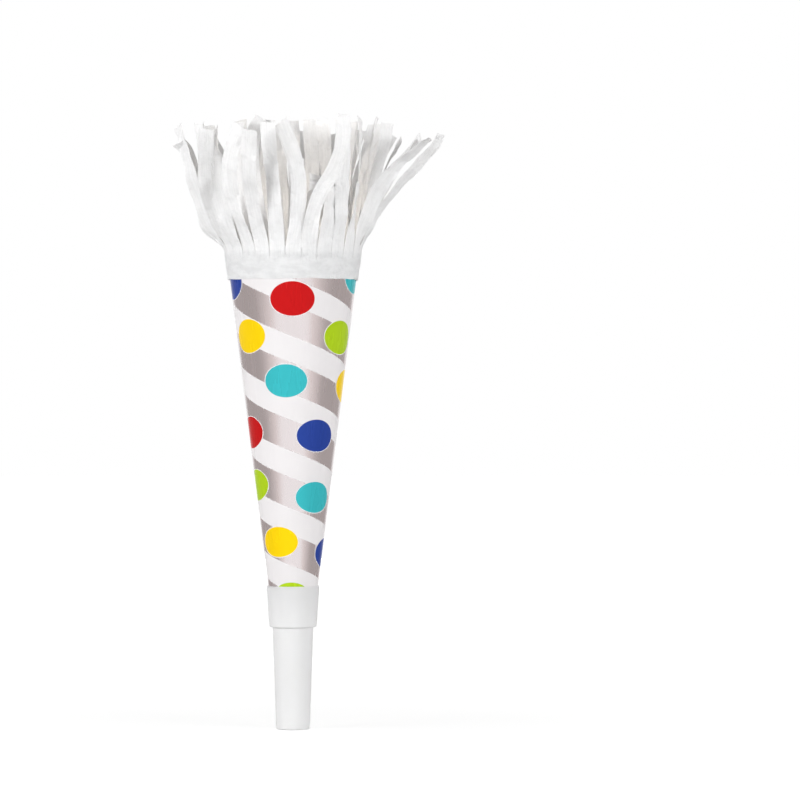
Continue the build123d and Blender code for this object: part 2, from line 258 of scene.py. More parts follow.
class HornTissue(PropertyGroup):
    """The tissue fringe."""

    strip_length: length_setting("Strip length", "Length of a strip above its root", 41 * MM)
    thickness: length_setting("Thickness", "Thickness of the crinkled tissue", 0.08 * MM)
    cut_depth: length_setting("Cut depth", "How far the deepest cut reaches below the roots", 4.2 * MM)
    cut_gap: length_setting("Cut gap", "Gap between two strips of the outer ply", 0.15 * MM)
    inner_cut_gap: length_setting("Inner cut gap", "Gap between two strips of the inner ply", 0.4 * MM)
    inner_cut_shift: FloatProperty(
        name="Inner cut shift",
        description="Turn of the inner ply's cuts round the horn",
        default=math.radians(1.5),
        unit="ROTATION",
    )
    ripple: length_setting("Ripple", "Height of the ripples along a strip", 0.65 * MM)
    seed: IntProperty(name="Seed", description="Picks other ripples, creases and tips", default=7)
    colour: colour_setting("Colour", "White of the tissue", (0.98, 0.988, 0.998))
    glow: colour_setting("Glow", "Tint of light that comes through", (0.95, 0.905, 0.86))
    translucency: share_setting("Translucency", "Share of light that goes through", 0.24)


class HornPlastic(PropertyGroup):
    """The moulded mouthpiece and the reed inside it."""

    mouthpiece: colour_setting("Mouthpiece", "White of the mouthpiece", (0.79, 0.79, 0.79))
    reed: colour_setting("Reed", "Ivory of the reed's holder and ring", (0.86, 0.84, 0.78))
    film: colour_setting("Film", "Tint of the reed's film tongue", (0.78, 0.84, 0.88))
    film_thickness: length_setting("Film thickness", "Thickness of the tongue", 0.2 * MM)


class HornStage(PropertyGroup):
    """Camera, floor and light."""

    lens: FloatProperty(
        name="Lens", description="Focal length of the camera", default=180, subtype="DISTANCE_CAMERA"
    )
    distance: length_setting("Distance", "From the camera to the horn's axis", 1.2)
    aside: length_setting("Aside", "How far the camera stands to the horn's right", 32.1 * MM)
    height: length_setting("Height", "Height of the camera above the lips", 98.7 * MM)
    lamp_power: power_setting("Lamp power", "Power that each lamp has its share of", 5.95)
    left_share: share_setting("Left share", "Share of the lamp at the left", 1.6)
    right_share: share_setting("Right share", "Share of the lamp at the right", 1.3)
    back_share: share_setting("Back share", "Share of the lamp behind", 0.15)
    inside_power: power_setting("Inside power", "Power of the faint light inside the fringe", 0.009)
    sky_level: share_setting("Sky level", "Light from all round", 2.3)
    sky_top: share_setting("Sky top", "Light from overhead, against that from all round", 0.1)
    sky_back: share_setting("Sky back", "Light from behind, against that from all round", 0.5)
    flag_level: share_setting("Flag level", "Brightness of the cards beside the foil", 0.44)


class PartyHorn(PropertyGroup):
    """All settings of the horn."""

    printing: PointerProperty(type=HornPrint, name="Print", description="The print on the cone")
    tissue: PointerProperty(type=HornTissue, name="Tissue", description="The tissue fringe")
    plastic: PointerProperty(type=HornPlastic, name="Plastic", description="The mouthpiece and the reed")
    stage: PointerProperty(type=HornStage, name="Stage", description="Camera, floor and light")


def settings():
    """The scene's settings for the horn."""
    return bpy.context.scene.party_horn


def smooth(start, end, value):
    """0 before start, 1 after end, and smooth between them."""
    share = min(max((value - start) / (end - start), 0), 1)
    return share * share * (3 - 2 * share)


def mixed(first, second, share):
    """A value between two others."""
    return first + (second - first) * share


def around(azimuth, radius, height):
    """A point at an azimuth, a radius and a height."""
    turn = math.radians(azimuth)
    return Vector((radius * math.sin(turn), -radius * math.cos(turn), height))


def cone_radius(height):
    """Outer radius of the card."""
    return CONE_FOOT_RADIUS + CONE_TAPER * (height - CONE_FOOT_Z)


def colour4(colour, level=1.0):
    """A colour with full alpha, darker at a level below 1."""
    return (*(level * part for part in colour), 1)


class Nodes:
    """Adds nodes to a tree and joins them."""

    def __init__(self, tree):
        self.tree = tree

    def add(self, kind, **values):
        """A node with some of its settings."""
        node = self.tree.nodes.new(kind)
        for name, value in values.items():
            setattr(node, name, value)
        return node

    def feed(self, socket, value):
        """Joins an output to a socket, or sets the socket's own value."""
        if isinstance(value, bpy.types.NodeSocket):
            self.tree.links.new(value, socket)
        else:
            socket.default_value = value

    def listed(self, kind, *entries, **values):
        """The outputs of a node whose sockets are fed in their order."""
        node = self.add(kind, **values)
        for socket, entry in zip(node.inputs, entries):
            self.feed(socket, entry)
        return node.outputs

    def named(self, kind, **entries):
        """The first output of a node whose sockets are fed by their names."""
        node = self.add(kind)
        for name, entry in entries.items():
            self.feed(node.inputs[name.replace("_", " ")], entry)
        return node.outputs[0]

    def math(self, operation, *values):
        """The result of a Math node."""
        return self.listed("ShaderNodeMath", *values, operation=operation)[0]

    def vector(self, operation, *values):
        """The result of a Vector Math node."""
        outputs = self.listed("ShaderNodeVectorMath", *values, operation=operation)
        return outputs["Value" if operation == "LENGTH" else "Vector"]

    def span(self, value, low, high, to_low=0.0, to_high=1.0):
        """A smooth step from one value to another."""
        entries = (value, low, high, to_low, to_high)
        return self.listed("ShaderNodeMapRange", *entries, interpolation_type="SMOOTHSTEP")[0]

    def mix(self, share, first, second):
        """A colour between two others."""
        node = self.add("ShaderNodeMix", data_type="RGBA")
        self.feed(node.inputs[0], share)
        self.feed(node.inputs[6], first)
        self.feed(node.inputs[7], second)
        return node.outputs[2]

    def mottled(self, pattern, colour, level):
        """A colour that is darker, at a level below 1, where a noise is low."""
        return self.mix(self.span(pattern, 0.3, 0.7), colour4(colour, level), colour4(colour))

    def noise(self, vector, scale, detail=2.0, roughness=0.5):
        """Noise from 0 to 1, at a number of waves to the vector's unit."""
        kind = "ShaderNodeTexNoise"
        return self.named(kind, Vector=vector, Scale=scale, Detail=detail, Roughness=roughness)

    def folded(self, value):
        """How far a value from 0 to 1 is off its middle."""
        return self.math("ABSOLUTE", self.math("SUBTRACT", value, 0.5))

    def place(self):
        """Where the surface is, in the frame's axes."""
        return self.add("ShaderNodeTexCoord").outputs["Object"]

    def axes(self, vector):
        """The three parts of a vector."""
        return self.listed("ShaderNodeSeparateXYZ", vector)

    def azimuth(self, vector):
        """The azimuth of a place, in radians."""
        x, y, _ = self.axes(vector)
        return self.math("ARCTAN2", x, self.math("MULTIPLY", y, -1.0))

    def stretched(self, vector, factors):
        """A vector with each part multiplied by a factor."""
        return self.vector("MULTIPLY", vector, factors)

    def bump(self, height, distance, strength):
        """A normal from a height of 0 to 1."""
        return self.named("ShaderNodeBump", Strength=strength, Distance=distance, Height=height)

    def principled(self, **values):
        """The surface shader with some of its sockets fed."""
        return self.named("ShaderNodeBsdfPrincipled", **values)

    def surface(self, shader):
        """Makes a shader the material's surface."""
        self.feed(self.add("ShaderNodeOutputMaterial").inputs["Surface"], shader)


def new_material(name):
    """An empty material and its nodes."""
    material = bpy.data.materials.new(name)
    material.use_nodes = True
    material.node_tree.nodes.clear()
    return material, Nodes(material.node_tree)


def dot_group():
    """A node group that lays one printed dot and its halo over the colours below."""
    tree = bpy.data.node_groups.new("Printed dot", "ShaderNodeTree")
    sockets = (
        ("INPUT", "Vector", ("Place", "Centre", "Half size")),
        ("INPUT", "Float", ("Halo reach",)),
        ("INPUT", "Color", ("Ink", "Halo colour", "Colour below")),
        ("INPUT", "Float", ("Foil below", "Inked below")),
        ("OUTPUT", "Color", ("Colour",)),
        ("OUTPUT", "Float", ("Foil", "Inked")),
    )
    for side, kind, names in sockets:
        for name in names:
            tree.interface.new_socket(name, in_out=side, socket_type=f"NodeSocket{kind}")
    nodes = Nodes(tree)
    given = nodes.add("NodeGroupInput").outputs
    result = nodes.add("NodeGroupOutput").inputs
    blur = 0.012
    off_centre = nodes.vector("SUBTRACT", given["Place"], given["Centre"])
    reach = nodes.vector("LENGTH", nodes.vector("DIVIDE", off_centre, given["Half size"]))
    haloed = nodes.span(nodes.math("SUBTRACT", reach, given["Halo reach"]), blur, -blur)
    inked = nodes.span(reach, 1 + blur, 1 - blur)
    below = nodes.mix(haloed, given["Colour below"], given["Halo colour"])
    bare = nodes.math("SUBTRACT", 1.0, haloed)
    nodes.feed(result["Colour"], nodes.mix(inked, below, given["Ink"]))
    nodes.feed(result["Foil"], nodes.math("MULTIPLY", given["Foil below"], bare))
    nodes.feed(result["Inked"], nodes.math("MAXIMUM", given["Inked below"], inked))
    return tree


def dot_size(height):
    """Dots get a little smaller towards the mouthpiece."""
    smallest, small_height, full_height = 0.885, 56 * MM, 129 * MM
    return mixed(smallest, 1, (height - small_height) / (full_height - small_height))


def printed_card():
    """Glossy card with slanting foil stripes and coloured dots, laid out round the cone."""
    look = settings().printing
    material, nodes = new_material("Printed card")
    place = nodes.place()
    height = nodes.axes(place)[2]
    above_foot = nodes.math("SUBTRACT", height, CONE_FOOT_Z)
    radius = nodes.math("MULTIPLY_ADD", above_foot, CONE_TAPER, CONE_FOOT_RADIUS)
    along = nodes.math("MULTIPLY", nodes.azimuth(place), radius)

    # The stripes fall as they go round, and end at the lap
    half_share, blur = look.stripe_share / 2, 0.006
    level = nodes.math("MULTIPLY_ADD", along, look.stripe_slope, height)
    phase = nodes.math("DIVIDE", nodes.math("SUBTRACT", level, look.stripe_start), look.stripe_pitch)
    centred = nodes.math("FRACT", nodes.math("ADD", phase, 0.5 - half_share))
    foil = nodes.span(nodes.folded(centred), half_share + blur, half_share - blur)

    # Faint streaks run up the card, as rolling leaves them
    streaks = nodes.noise(nodes.stretched(place, (1.0, 1.0, 0.08)), scale=420.0, detail=3.0)
    silver = nodes.mottled(streaks, look.foil, 0.965)
    white = nodes.mottled(nodes.noise(place, scale=60.0), look.card_white, 0.975)
    colour = nodes.mix(foil, white, silver)
    inked = 0.0
    dot_tree = dot_group()
    unrolled = nodes.listed("ShaderNodeCombineXYZ", along, height)[0]
    for ink, azimuth, height_mm in DOTS:
        centre_height = height_mm * MM
        centre = (math.radians(azimuth) * cone_radius(centre_height), centre_height, 0)
        size = dot_size(centre_height)
        half_size = (look.dot_half_width * size, look.dot_half_height * size, 1)
        halo_reach = 1 + look.dot_halo / half_size[1]
        colours = (colour4(getattr(look, ink)), colour4(look.card_white), colour)
        entries = (unrolled, centre, half_size, halo_reach, *colours, foil, inked)
        colour, foil, inked = nodes.listed("ShaderNodeGroup", *entries, node_tree=dot_tree)
    ink_metal = 0.15
    wave = nodes.noise(nodes.stretched(place, (1.0, 1.0, 0.25)), scale=130.0)
    shader = nodes.principled(
        Base_Color=colour,
        Metallic=nodes.math("MAXIMUM", foil, nodes.math("MULTIPLY", inked, ink_metal)),
        Roughness=nodes.span(streaks, 0.2, 0.8, 0.2, 0.32),
        Normal=nodes.bump(wave, 0.25 * MM, 0.08),
        Specular_IOR_Level=0.08,
    )
    nodes.surface(shader)
    return material


def plain_card():
    """The unprinted inside of the card and its cut edges."""
    material, nodes = new_material("Plain card")
    place = nodes.place()
    fibres = nodes.noise(nodes.stretched(place, (1.0, 1.0, 0.5)), scale=900.0, detail=4.0, roughness=0.65)
    clouds = nodes.noise(place, scale=90.0)
    paper = nodes.mix(nodes.span(clouds, 0.3, 0.7), (0.78, 0.76, 0.72, 1), (0.86, 0.85, 0.82, 1))
    shader = nodes.principled(
        Base_Color=nodes.mix(nodes.span(fibres, 0.62, 0.78, 0.0, 0.35), paper, (0.66, 0.63, 0.58, 1)),
        Roughness=nodes.span(fibres, 0.2, 0.8, 0.72, 0.9),
        Normal=nodes.bump(fibres, 0.04 * MM, 0.5),
        Specular_IOR_Level=0.3,
    )
    nodes.surface(shader)
    return material


def tissue_paper():
    """Thin white tissue: crinkled, mottled, with painted shade in its grooves and in its hem's puckers, and
    lit through from behind.
    """
    look = settings().tissue
    material, nodes = new_material("Tissue paper")
    place = nodes.add("ShaderNodeUVMap", uv_map="Tissue").outputs[0]
    mottle = nodes.noise(place, scale=22.0, detail=4.0, roughness=0.65)
    streaks = nodes.noise(nodes.stretched(place, (1.0, 0.06, 1.0)), scale=75.0, detail=4.0, roughness=0.6)
    wrinkles = nodes.noise(nodes.stretched(place, (0.36, 1.0, 1.0)), scale=21.0, detail=4.0, roughness=0.6)
    grain = nodes.noise(place, scale=300.0)
    broad = nodes.folded(nodes.noise(place, scale=9.0, detail=3.0, roughness=0.45))
    small = nodes.folded(nodes.noise(place, scale=24.0))
    colour = nodes.mix(nodes.span(mottle, 0.4, 0.7), colour4(look.colour), colour4(look.colour, 0.965))

    # The hem is glued, so it is flatter and greyer, up to a ragged line, and its pucker hollows are painted
    # darker, a painted shade.
    ragged = nodes.math("MULTIPLY_ADD", mottle, 0.12, nodes.axes(place)[1])
    hem_top = ROOT_Z / look.strip_length
    hem = nodes.span(ragged, hem_top + 0.06, hem_top)
    # Painted shade: the strips are darker along the low lines of the streaks that bump their fine grooves, but
    # not on the hem
    groove_shade = nodes.math("MAXIMUM", nodes.span(streaks, 0.38, 0.62, 0.955, 1.0), hem)
    # The glued hem's grey, deeper in the low parts of its puckers, where it is painted shade
    glued_grey_and_hollow_shade = nodes.math("MULTIPLY", hem, nodes.span(wrinkles, 0.35, 0.65, 0.13, 0.05))
    colour = nodes.mix(nodes.math("SUBTRACT", groove_shade, glued_grey_and_hollow_shade), (0, 0, 0, 1), colour)
    puckers = nodes.math("MULTIPLY", nodes.math("SUBTRACT", wrinkles, 0.5), hem)

    relief = nodes.math("MULTIPLY_ADD", small, 0.4, broad)
    for pattern, share in ((puckers, 0.5), (streaks, 0.3), (grain, 0.02)):
        relief = nodes.math("MULTIPLY_ADD", pattern, share, relief)
    normal = nodes.bump(relief, 0.9 * MM, 0.7)
    paper = nodes.principled(
        Base_Color=colour,
        Roughness=nodes.span(grain, 0.2, 0.8, 0.7, 0.9),
        Normal=normal,
        Specular_IOR_Level=0.25,
        Sheen_Weight=0.1,
    )
    tinted = nodes.stretched(colour, look.glow)
    through = nodes.named("ShaderNodeBsdfTranslucent", Color=tinted, Normal=normal)
    nodes.surface(nodes.listed("ShaderNodeMixShader", look.translucency, paper, through)[0])
    return material


def mouthpiece_plastic():
    """Soft white moulded plastic with a satin skin."""
    look = settings().plastic
    material, nodes = new_material("Mouthpiece plastic")
    place = nodes.place()
    skin = nodes.noise(place, scale=1800.0)
    flow = nodes.noise(nodes.stretched(place, (1.0, 1.0, 0.15)), scale=160.0)
    shader = nodes.principled(
        Base_Color=nodes.mottled(flow, look.mouthpiece, 0.97),
        Roughness=nodes.span(skin, 0.2, 0.8, 0.34, 0.44),
        Normal=nodes.bump(skin, 0.02 * MM, 0.35),
        IOR=1.51,
        Subsurface_Weight=0.4,
        Subsurface_Radius=(1.0, 1.0, 0.95),
        Subsurface_Scale=3.0 * MM,
    )
    nodes.surface(shader)
    return material


def reed_plastic():
    """Hard ivory plastic of the reed's holder and ring."""
    look = settings().plastic
    material, nodes = new_material("Reed plastic")
    place = nodes.place()
    skin = nodes.noise(place, scale=2600.0)
    shader = nodes.principled(
        Base_Color=nodes.mottled(nodes.noise(place, scale=320.0), look.reed, 0.94),
        Roughness=nodes.span(skin, 0.2, 0.8, 0.22, 0.32),
        Normal=nodes.bump(skin, 0.01 * MM, 0.3),
        IOR=1.53,
    )
    nodes.surface(shader)
    return material


def reed_film():
    """Clear spring film with a faint drawn grain."""
    look = settings().plastic
    material, nodes = new_material("Reed film")
    grain = nodes.noise(nodes.stretched(nodes.place(), (1.0, 1.0, 0.06)), scale=5200.0)
    shader = nodes.principled(
        Base_Color=nodes.mottled(grain, look.film, 0.92),
        Roughness=nodes.span(grain, 0.2, 0.8, 0.1, 0.2),
        Normal=nodes.bump(grain, 0.005 * MM, 0.3),
        IOR=1.58,
        Transmission_Weight=0.45,
    )
    nodes.surface(shader)
    return material


def dress(node, *materials):
    """Gives a node of the frame new materials."""
    slots = frame["nodes"][node].data.materials
    slots.clear()
    for material in materials:
        slots.append(material)


def grid_mesh(name, grids, closed=False):
    """A mesh of grids of (point, map place), joined where they meet. Closed ones go round."""
    touching = 0.002 * MM
    shape = bmesh.new()
    layer = shape.loops.layers.uv.new("Tissue")
    for rows in grids:
        corners = [[shape.verts.new(point) for point, _ in row] for row in rows]
        width = len(rows[0])
        for k in range(len(rows) - 1):
            for c in range(width if closed else width - 1):
                right = (c + 1) % width
                cells = ((k, c), (k, right), (k + 1, right), (k + 1, c))
                face = shape.faces.new([corners[row][column] for row, column in cells])
                face.smooth = True
                for loop, (row, column) in zip(face.loops, cells):
                    loop[layer].uv = rows[row][column][1]
    bmesh.ops.remove_doubles(shape, verts=shape.verts, dist=touching)
    for edge in shape.edges:
        edge.smooth = not edge.is_boundary
    mesh = bpy.data.meshes.new(name)
    shape.to_mesh(mesh)
    shape.free()
    return mesh


def new_piece(name, mesh, material, thickness):
    """An object for a thin sheet, with its thickness laid on both sides of its mesh."""
    piece = bpy.data.objects.new(name, mesh)
    bpy.context.scene.collection.objects.link(piece)
    mesh.materials.append(material)
    solid = piece.modifiers.new("Thickness", "SOLIDIFY")
    solid.thickness = thickness
    solid.offset = 0
    return piece


def ply_radius(ply, height):
    """Middle radius of a ply of tissue on the cone. The outer one stands off more above its foot."""
    glue, foot_gap, top_gap, rise = 0.08 * MM, 0.2, 0.35, 4 * MM
    inner = cone_radius(height) + LAPPED_CARD + glue
    if ply == "inner":
        return inner
    return inner + mixed(foot_gap, top_gap, smooth(BAND_FOOT_Z, BAND_FOOT_Z + rise, height)) * MM


def ring_noise(azimuth, waves, level):
    """Noise from -1 to 1 that runs round the horn without a seam."""
    at = around(azimuth, 1, 0)
    return noise.noise(Vector((waves * at.x, waves * at.y, level)))


def hem_crinkle(ply, azimuth, height):
    """How far the glued tissue stands off its smooth ring."""
    broad_height, fine_height = 7 * MM, 2.2 * MM
    inner_depth, outer_depth, outer_lift = 0.04, 0.12, 0.06
    broad = ring_noise(azimuth, waves=3.2, level=height / broad_height)
    if ply == "inner":
        return inner_depth * MM * broad
    fine = ring_noise(azimuth, waves=7, level=height / fine_height + 5)
    return (outer_lift + outer_depth * broad + outer_depth * fine) * MM


def hem_point(ply, azimuth, height):
    """A point of the glued tissue."""
    return around(azimuth, ply_radius(ply, height) + hem_crinkle(ply, azimuth, height), height)


def tissue_place(azimuth, height):
    """Where a point of the tissue lies on the flat sheet, in strip lengths."""
    length = settings().tissue.strip_length
    return (math.radians(azimuth) * ply_radius("outer", ROOT_Z) / length, height / length)


def hem_foot(azimuth):
    """Height of the hem's uneven lower edge."""
    uneven = 0.4 * MM
    return BAND_FOOT_Z + uneven * (ring_noise(azimuth, waves=4, level=2.5) - 1)


def band_rows(ply):
    """Rows of a ply's uncut ring, which lies under the tufts' own hems."""
    steps, rises = 216, 8
    inset, sunk = 0.3 * MM, 0.16 * MM
    rows = []
    for k in range(rises + 1):
        row = []
        for c in range(steps):
            azimuth = 360 * c / steps
            height = mixed(hem_foot(azimuth) + inset, RIM_Z - inset, k / rises)
            point = hem_point(ply, azimuth, height) - around(azimuth, sunk, 0)
            row.append((point, tissue_place(azimuth, height)))
        rows.append(row)
    return rows


# What sets one strip's paper apart from the others: how it cups across, its ripples, how it sways, where
# it is creased across, and how each length between two creases leans and twists
Manner = namedtuple("Manner", "cup seed sway creases turns")


def lean_at(strip, share):
    """A strip's lean in degrees at a share of its length, on a parabola through root, middle and tip."""
    at_root = strip.root * (1 - share) * (1 - 2 * share)
    at_mid = strip.mid * 4 * share * (1 - share)
    at_tip = strip.tip * share * (2 * share - 1)
    return at_root + at_mid + at_tip


def strip_way(laid, pick):
    """The way that a strip is laid in, or one near its solid's. Both draw as often from pick."""
    length_mm = settings().tissue.strip_length / MM
    strip = laid if isinstance(laid, Strip) else Strip(0, 0, 0, 0, 0)
    quarters = [k / 4 for k in range(5)]
    drifts = [math.degrees(2 * share * strip.drift / length_mm) for share in quarters]
    near = Way(
        leans=[lean_at(strip, share) + pick.uniform(-9, 9) * share for share in quarters],
        sides=[drift + pick.uniform(-7, 7) * share for drift, share in zip(drifts, quarters)],
        twists=[strip.twist * share + pick.uniform(-20, 20) * min(2 * share, 1) for share in quarters],
        shorter=pick.uniform(-0.4, 1.6),
        slant=pick.uniform(-0.45, 0.45),
    )
    return laid if isinstance(laid, Way) else near


def strip_manner(pick):
    """How one strip's paper cups, ripples, sways and creases."""
    return Manner(
        cup=pick.uniform(-70, 130),
        seed=pick.uniform(0, 100),
        sway=pick.uniform(0.1, 0.6) * MM,
        creases=sorted(pick.uniform(0.12, 0.95) for _ in range(4)),
        turns=[(pick.uniform(-6, 6), pick.uniform(-9, 9)) for _ in range(5)],
    )


def crease_turn(manner, share):
    """How much the length that a place lies in leans and twists."""
    half_crease = 0.012
    lean, twist = manner.turns[0]
    for crease, turn in zip(manner.creases, manner.turns[1:]):
        past = smooth(crease - half_crease, crease + half_crease, share)
        lean, twist = mixed(lean, turn[0], past), mixed(twist, turn[1], past)
    free = smooth(0.03, 0.2, share)
    return lean * free, twist * free


def keyed(values, share):
    """A value between the ones given for root, quarters and tip."""
    almost_tip = 0.9999
    at = min(max(share, 0), almost_tip) * (len(values) - 1)
    k = int(at)
    return mixed(values[k], values[k + 1], at - k)


def strip_direction(way, manner, azimuth, distance):
    """Which way a strip runs at a distance above its root."""
    bend_start, bend_end = -0.5 * MM, 3 * MM
    share = distance / settings().tissue.strip_length
    lean = keyed(way.leans, share) + crease_turn(manner, share)[0]
    lean = math.radians(mixed(TAPER_LEAN, lean, smooth(bend_start, bend_end, distance)))
    side = math.radians(keyed(way.sides, share))
    upright = Vector((0, 0, math.cos(lean))) + around(azimuth, math.sin(lean), 0)
    return upright * math.cos(side) + around(azimuth + 90, math.sin(side), 0)


def cut_gap(ply):
    """Gap between two strips of a ply."""
    look = settings().tissue
    return look.inner_cut_gap if ply == "inner" else look.cut_gap


def cut_height(ply, azimuth):
    """Where the cut at an azimuth ends, as a distance above the roots."""
    shallowest, spread = 0.25, 0.7
    depth = 0.5 + 0.5 * ring_noise(azimuth, waves=9, level=4 if ply == "outer" else 8)
    return -settings().tissue.cut_depth * (shallowest + spread * depth)


def hem_rows(ply, azimuth):
    """Rows of one strip on the cone, from the foot of the hem up to its root."""
    cut_ease = 0.8 * MM
    half_gap = cut_gap(ply) / ply_radius(ply, ROOT_Z) / 2
    rows = []
    for k in range(HEM_STEPS, 0, -1):
        row = []
        for reach in REACHES:
            cut = cut_height(ply, azimuth + math.copysign(STRIP_ANGLE / 2, reach))
            edge = azimuth + reach * STRIP_ANGLE / 2
            height = mixed(ROOT_Z, hem_foot(edge), k / HEM_STEPS)
            turn = reach * (HALF_STRIP - half_gap * smooth(cut, cut + cut_ease, height - ROOT_Z))
            point = hem_point(ply, azimuth + math.degrees(turn), height)
            row.append((point, tissue_place(edge, height)))
        rows.append(row)
    return rows


def cupped(cup, x):
    """How far across and how deep a place on a strip lies when the strip is cupped to an arc."""
    least_bend = 0.001
    bend = max(abs(cup), least_bend)
    return math.sin(bend * x) / bend, math.copysign(1 - math.cos(bend * x), cup) / bend


def strip_lift(manner, distance, reach):
    """How far a strip's broad and fine ripples lift a place on it."""
    broad_length, fine_length, fine_share = 7 * MM, 4.5 * MM, 0.4
    broad = noise.noise(Vector((distance / broad_length, 0.35 * reach, manner.seed)))
    fine = noise.noise(Vector((distance / fine_length, 1.7 * reach, manner.seed + 20)))
    return (broad + fine_share * fine) * settings().tissue.ripple


def strip_rows(way, manner, ply, azimuth):
    """Rows of one strip's middle surface, from the foot of the hem to its cut tip."""
    free_distance, sway_length = 9 * MM, 11 * MM
    step = settings().tissue.strip_length / STRIP_STEPS
    out = around(azimuth, 1, 0)
    side = around(azimuth + 90, 1, 0)
    root_radius = ply_radius(ply, ROOT_Z)
    half_turn = HALF_STRIP - cut_gap(ply) / root_radius / 2
    centre = around(azimuth, root_radius, ROOT_Z)
    rows = hem_rows(ply, azimuth)
    for k in range(STRIP_STEPS + 1):
        distance = k * step
        share = k / STRIP_STEPS
        along = strip_direction(way, manner, azimuth, distance)
        across = along.cross(out).normalized()
        twist = keyed(way.twists, share) + crease_turn(manner, share)[1]
        across.rotate(Matrix.Rotation(math.radians(twist), 3, along))
        normal = across.cross(along)
        free = smooth(0, free_distance, distance)
        sway = manner.sway * free * noise.noise(Vector((distance / sway_length, 7, manner.seed)))
        trim = way.shorter * MM * smooth(0.15, 1, share)
        row = []
        for reach in REACHES:
            turn = reach * half_turn
            x = turn * root_radius
            on_cone = side * math.sin(turn) * root_radius - out * (1 - math.cos(turn)) * root_radius
            on_cone += out * hem_crinkle(ply, azimuth + math.degrees(turn), ROOT_Z + distance)
            width, depth = cupped(manner.cup, x)
            on_strip = across * (width + sway) + normal * (strip_lift(manner, distance, reach) - depth)
            point = centre + on_cone * (1 - free) + on_strip * free
            point -= along * (way.slant * x * smooth(0.8, 1, share) + trim)
            row.append((point, tissue_place(azimuth + math.degrees(turn), ROOT_Z + distance)))
        rows.append(row)
        centre = centre + strip_direction(way, manner, azimuth, distance + step / 2) * step
    return rows


def add_tuft(ply, tuft, material):
    """Makes the strips of one ply in one tuft, held at the hem."""
    look = settings().tissue
    joint = TUFT_JOINTS[tuft]
    x, y, _ = joint["pos_m"]
    middle = math.degrees(math.atan2(x, -y))
    if ply == "inner":
        middle += math.degrees(look.inner_cut_shift)
    grids, ways = [], []
    for place in range(TUFT_STRIPS):
        azimuth = middle + (place - (TUFT_STRIPS - 1) / 2) * STRIP_ANGLE
        pick = random.Random(f"{look.seed} {ply} {tuft} {place}")
        way = strip_way(PLIES[ply][TUFT_STRIPS * tuft + place], pick)
        grids.append(strip_rows(way, strip_manner(pick), ply, azimuth))
        ways.append(way)
    name = f"tissue_{ply}_{tuft + 1}"
    piece = new_piece(name, grid_mesh(name, grids), material, look.thickness)
    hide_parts(f"fringe_{ply}_{tuft + 1}")
    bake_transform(piece)


def tongue_rows():
    """Rows of the reed's film, flat under the ring and sprung open below it, with a rounded tip."""
    root_low, root_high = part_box("reed_root")
    blade_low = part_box("reed_blade")[0]
    bend = Vector(JOINTS["reed_beat"]["pos_m"])
    half_width = root_high.x
    film_y = (root_low.y + root_high.y) / 2
    open_angle = math.atan2(bend.y - blade_low.y, bend.z - blade_low.z)
    length = (bend.z - blade_low.z) / math.cos(open_angle)
    flat_length = root_high.z - bend.z
    tip_round, half_bend = 1.4 * MM, 0.6 * MM
    steps, columns = 60, 10
    rows = []
    point = Vector((0, film_y, root_high.z))
    step = (flat_length + length) / steps
    for k in range(steps + 1):
        past_bend = k * step - flat_length
        to_tip = max(length - past_bend, 0)
        short = max(tip_round - to_tip, 0)
        width = half_width - tip_round + math.sqrt(max(tip_round**2 - short**2, 0))
        row = []
        for c in range(columns + 1):
            reach = 2 * c / columns - 1
            row.append((point + Vector((reach * width, 0, 0)), (reach, k / steps)))
        rows.append(row)
        angle = open_angle * smooth(-half_bend, half_bend, past_bend + step / 2)
        point = point + Vector((0, -math.sin(angle), -math.cos(angle))) * step
    return rows


